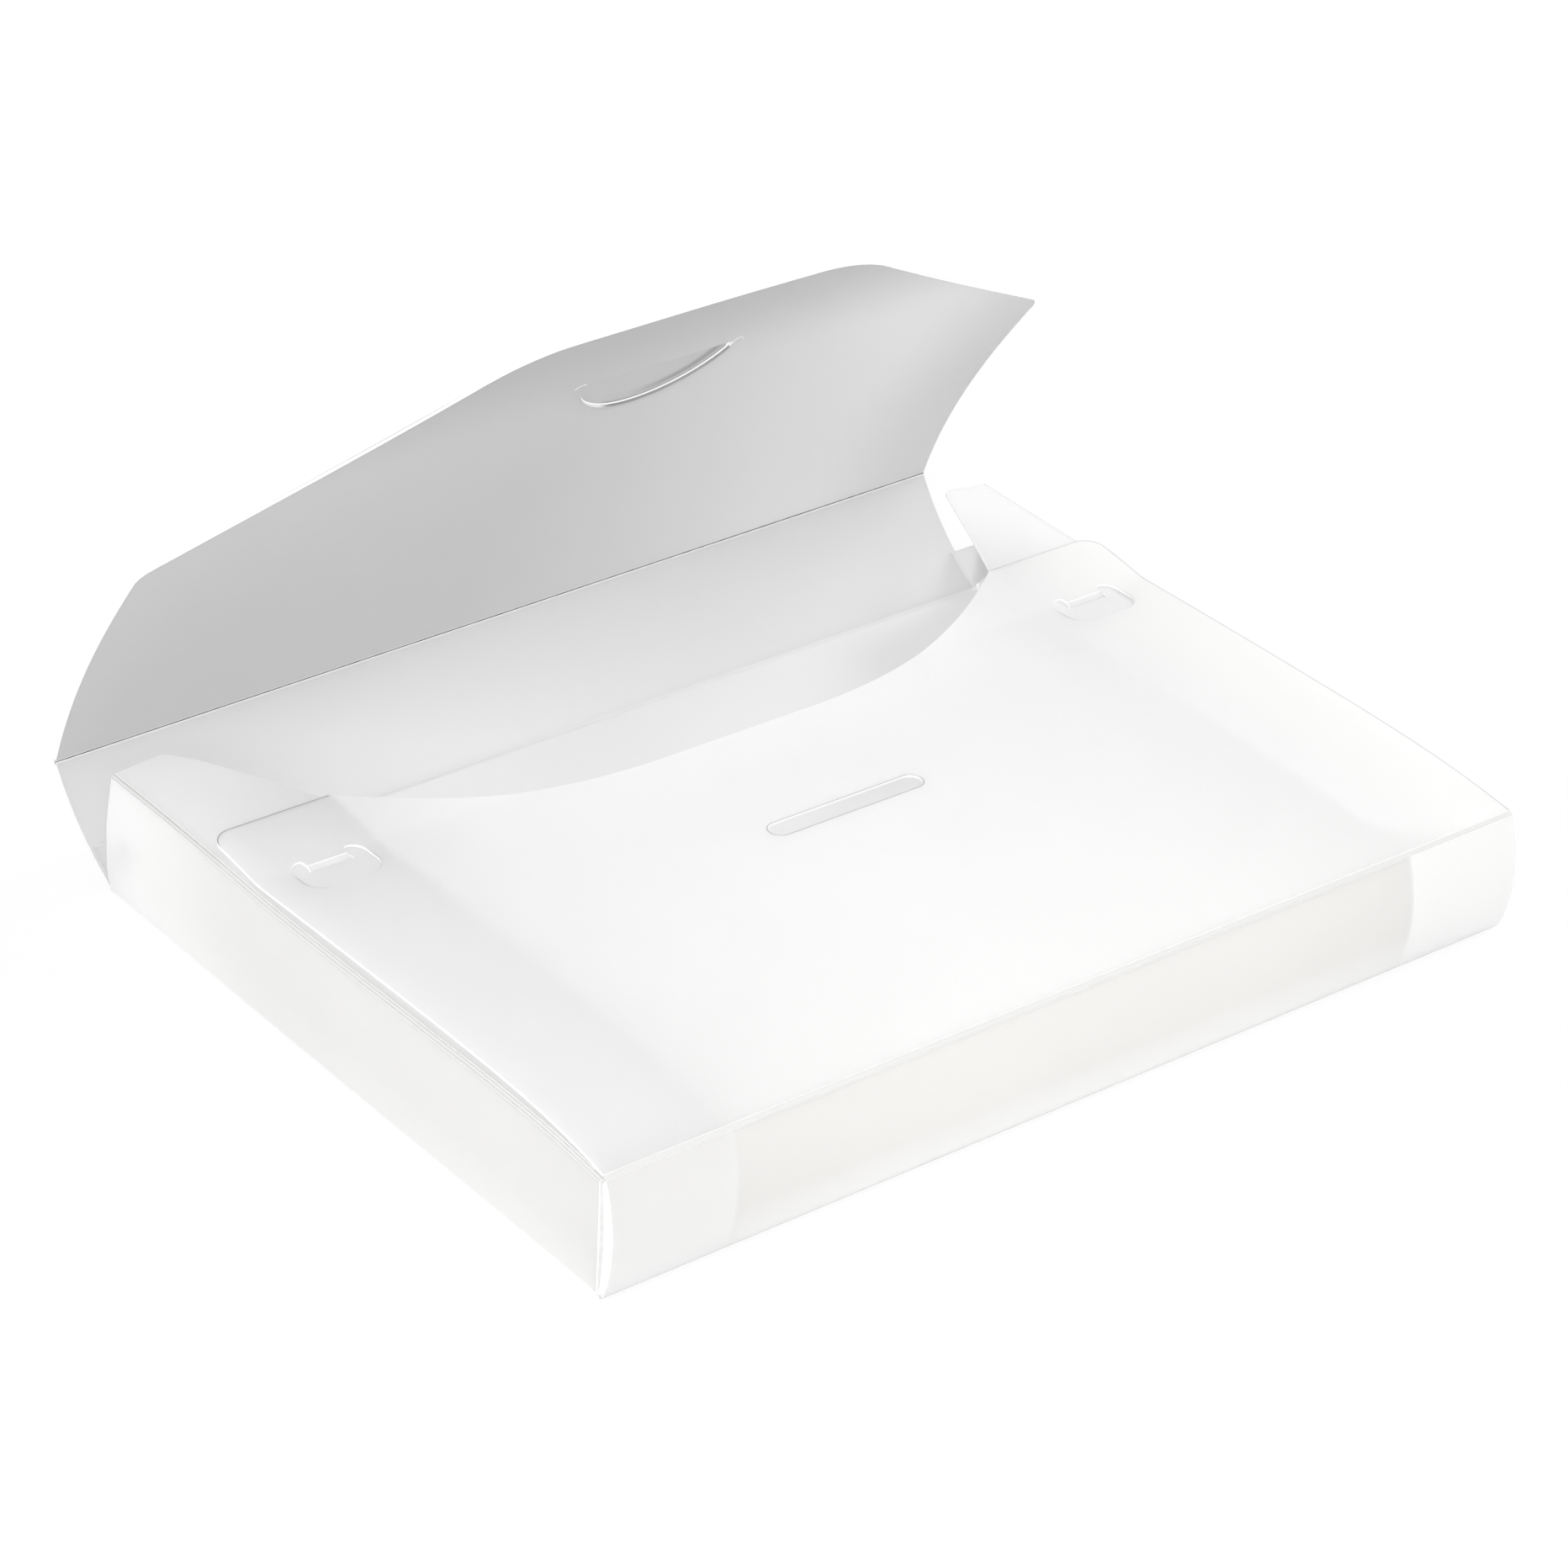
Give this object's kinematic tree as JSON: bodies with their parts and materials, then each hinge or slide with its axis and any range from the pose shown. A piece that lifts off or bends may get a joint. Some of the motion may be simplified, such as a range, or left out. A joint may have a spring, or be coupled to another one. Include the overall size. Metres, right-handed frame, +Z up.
{
  "type": "box file",
  "caption": "Shallow folded box file of frosted translucent plastic with creased walls, a scooped top and an open lid whose cut tongue tucks into a slot.",
  "frame": {"origin": "centre of the box's flat underside, on the surface it stands on", "axes": "+X to the right along the long front wall, +Y to the rear wall and lid, +Z up"},
  "size_m": [0.33, 0.2801, 0.1726],
  "materials": {
    "sheet": "frosted",
    "crease": "satin"
  },
  "bodies": {
    "box": {"base_panel": "sheet", "front_wall": "sheet", "top_panel": "sheet", "left_wall": "sheet", "left_top_flap": "sheet", "left_front_tab": "sheet", "left_lock_tongue": "sheet", "left_base_crease": "crease", "left_top_crease": "crease", "left_tab_crease": "crease", "right_wall": "sheet", "right_top_flap": "sheet", "right_front_tab": "sheet", "right_lock_tongue": "sheet", "right_base_crease": "crease", "right_top_crease": "crease", "right_tab_crease": "crease", "front_base_crease": "crease", "front_top_crease": "crease", "rear_base_crease": "crease"},
    "rear_wall": {"rear_wall": "sheet", "left_rear_ear": "sheet", "right_rear_ear": "sheet", "lid_crease": "crease"},
    "lid": {"lid_flap": "sheet", "lid_tongue_root": "crease"},
    "lid_tongue": {"lid_tongue": "sheet"}
  },
  "joints": [
    {"name": "rear_wall_fold", "type": "hinge", "parent": "box", "child": "rear_wall", "pos_m": [0, 0.1221, 0.0004], "axis": [1, 0, 0], "range_deg": [-26, 47.1]},
    {"name": "lid_fold", "type": "hinge", "parent": "rear_wall", "child": "lid", "pos_m": [0, 0.15323, 0.02933], "axis": [1, 0, 0], "range_deg": [-49.8, 9.8]},
    {"name": "lid_tongue_fold", "type": "hinge", "parent": "lid", "child": "lid_tongue", "pos_m": [0, 0.0821, 0.14687], "axis": [-1, 0, 0], "range_deg": [-5, 70]}
  ]
}
